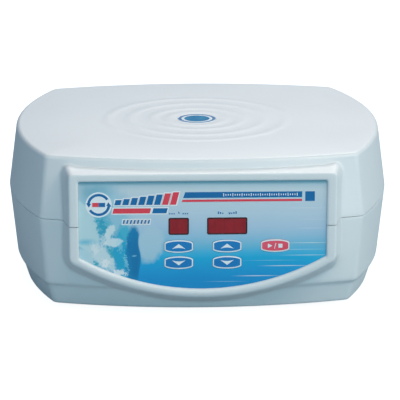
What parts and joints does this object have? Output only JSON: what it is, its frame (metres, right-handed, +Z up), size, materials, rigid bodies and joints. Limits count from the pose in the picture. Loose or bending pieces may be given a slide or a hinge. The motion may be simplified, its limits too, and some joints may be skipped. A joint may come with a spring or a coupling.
{
  "type": "digital magnetic stirrer",
  "caption": "Low, wide platform stirrer for large vessels: flat ringed top over a spinning magnet drive, front panel with time and speed displays and keys, rear power inlet and switch.",
  "frame": {"origin": "centre of the four feet's standing plane, under the stirring axis", "axes": "+X to the right of a person facing the control panel, -Y out of the control panel, +Z up along the stirring axis"},
  "size_m": [0.35, 0.339, 0.1433],
  "materials": {
    "housing_plastic": "fine satin texture",
    "badge_print": "gloss",
    "rubber_black": "matte",
    "screw_steel": "zinc plated",
    "plate_grey": "matte",
    "overlay_print": "satin film",
    "window_red": "gloss",
    "key_blue": "satin",
    "key_red": "satin",
    "display_black": "gloss",
    "board_green": "solder mask",
    "cable_grey": "matte",
    "wire_black": "matte",
    "wire_red": "matte",
    "wire_blue": "matte",
    "plated_steel": "zinc plated",
    "core_steel": "laminated",
    "bearing_steel": "ground",
    "copper_wire": "enamelled copper",
    "magnet_nickel": "nickel plated",
    "black_plastic": "fine texture",
    "pin_brass": "plated",
    "fuse_glass": "clear",
    "transformer_dark": "varnished laminations",
    "capacitor_sleeve": "shrink sleeve",
    "heat_sink_black": "black anodised"
  },
  "bodies": {
    "base": {"top_housing": "housing_plastic", "bottom_housing": "housing_plastic", "centre_badge": "badge_print", "control_plate": "plate_grey", "control_overlay": "overlay_print", "time_window": "window_red", "speed_window": "window_red", "time_display": "display_black", "speed_display": "display_black", "control_board": "board_green", "ribbon_cable": "cable_grey", "motor_bracket": "plated_steel", "motor_can": "plated_steel", "motor_end_bell": "plated_steel", "stator_core": "core_steel", "upper_winding": "copper_wire", "lower_winding": "copper_wire", "upper_bearing": "bearing_steel", "lower_bearing": "bearing_steel", "speed_sensor": "black_plastic", "power_inlet": "black_plastic", "live_pin": "pin_brass", "neutral_pin": "pin_brass", "earth_pin": "pin_brass", "switch_body": "black_plastic", "power_board": "board_green", "transformer": "transformer_dark", "filter_capacitor": "capacitor_sleeve", "heat_sink": "heat_sink_black", "mains_lead": "wire_black", "switch_lead": "wire_red", "motor_lead": "wire_blue", "foot_front_left": "rubber_black", "housing_screw_front_left": "screw_steel", "foot_front_right": "rubber_black", "housing_screw_front_right": "screw_steel", "foot_rear_left": "rubber_black", "housing_screw_rear_left": "screw_steel", "foot_rear_right": "rubber_black", "housing_screw_rear_right": "screw_steel", "motor_bracket_screw_1": "screw_steel", "motor_bracket_screw_2": "screw_steel", "motor_bracket_screw_3": "screw_steel", "motor_bracket_screw_4": "screw_steel"},
    "drive": {"motor_shaft": "bearing_steel", "rotor_core": "core_steel", "magnet_yoke": "plated_steel", "drive_magnet_left": "magnet_nickel", "drive_magnet_right": "magnet_nickel", "speed_disc": "black_plastic"},
    "rocker": {"switch_rocker": "black_plastic"},
    "fuse_holder": {"fuse_drawer": "black_plastic", "fuse": "fuse_glass"},
    "time_up_key": {"time_up_key": "key_blue"},
    "time_down_key": {"time_down_key": "key_blue"},
    "speed_up_key": {"speed_up_key": "key_blue"},
    "speed_down_key": {"speed_down_key": "key_blue"},
    "start_stop_key": {"start_stop_key": "key_red"}
  },
  "joints": [
    {"name": "drive_spin", "type": "hinge", "parent": "base", "child": "drive", "pos_m": [0, 0, 0.1], "axis": [0, 0, 1], "continuous": true},
    {"name": "time_up_press", "type": "slide", "parent": "base", "child": "time_up_key", "axis": [0, 1, 0], "range_m": [0, 0.0005], "stiffness_N_per_m": 2000},
    {"name": "time_down_press", "type": "slide", "parent": "base", "child": "time_down_key", "axis": [0, 1, 0], "range_m": [0, 0.0005], "stiffness_N_per_m": 2000},
    {"name": "speed_up_press", "type": "slide", "parent": "base", "child": "speed_up_key", "axis": [0, 1, 0], "range_m": [0, 0.0005], "stiffness_N_per_m": 2000},
    {"name": "speed_down_press", "type": "slide", "parent": "base", "child": "speed_down_key", "axis": [0, 1, 0], "range_m": [0, 0.0005], "stiffness_N_per_m": 2000},
    {"name": "start_stop_press", "type": "slide", "parent": "base", "child": "start_stop_key", "axis": [0, 1, 0], "range_m": [0, 0.0005], "stiffness_N_per_m": 2000},
    {"name": "switch_rock", "type": "hinge", "parent": "base", "child": "rocker", "pos_m": [-0.028, 0.1615, 0.054], "axis": [1, 0, 0], "range_deg": [0, 18]},
    {"name": "fuse_drawer_slide", "type": "slide", "parent": "base", "child": "fuse_holder", "axis": [0, 1, 0], "range_m": [0, 0.018]}
  ]
}
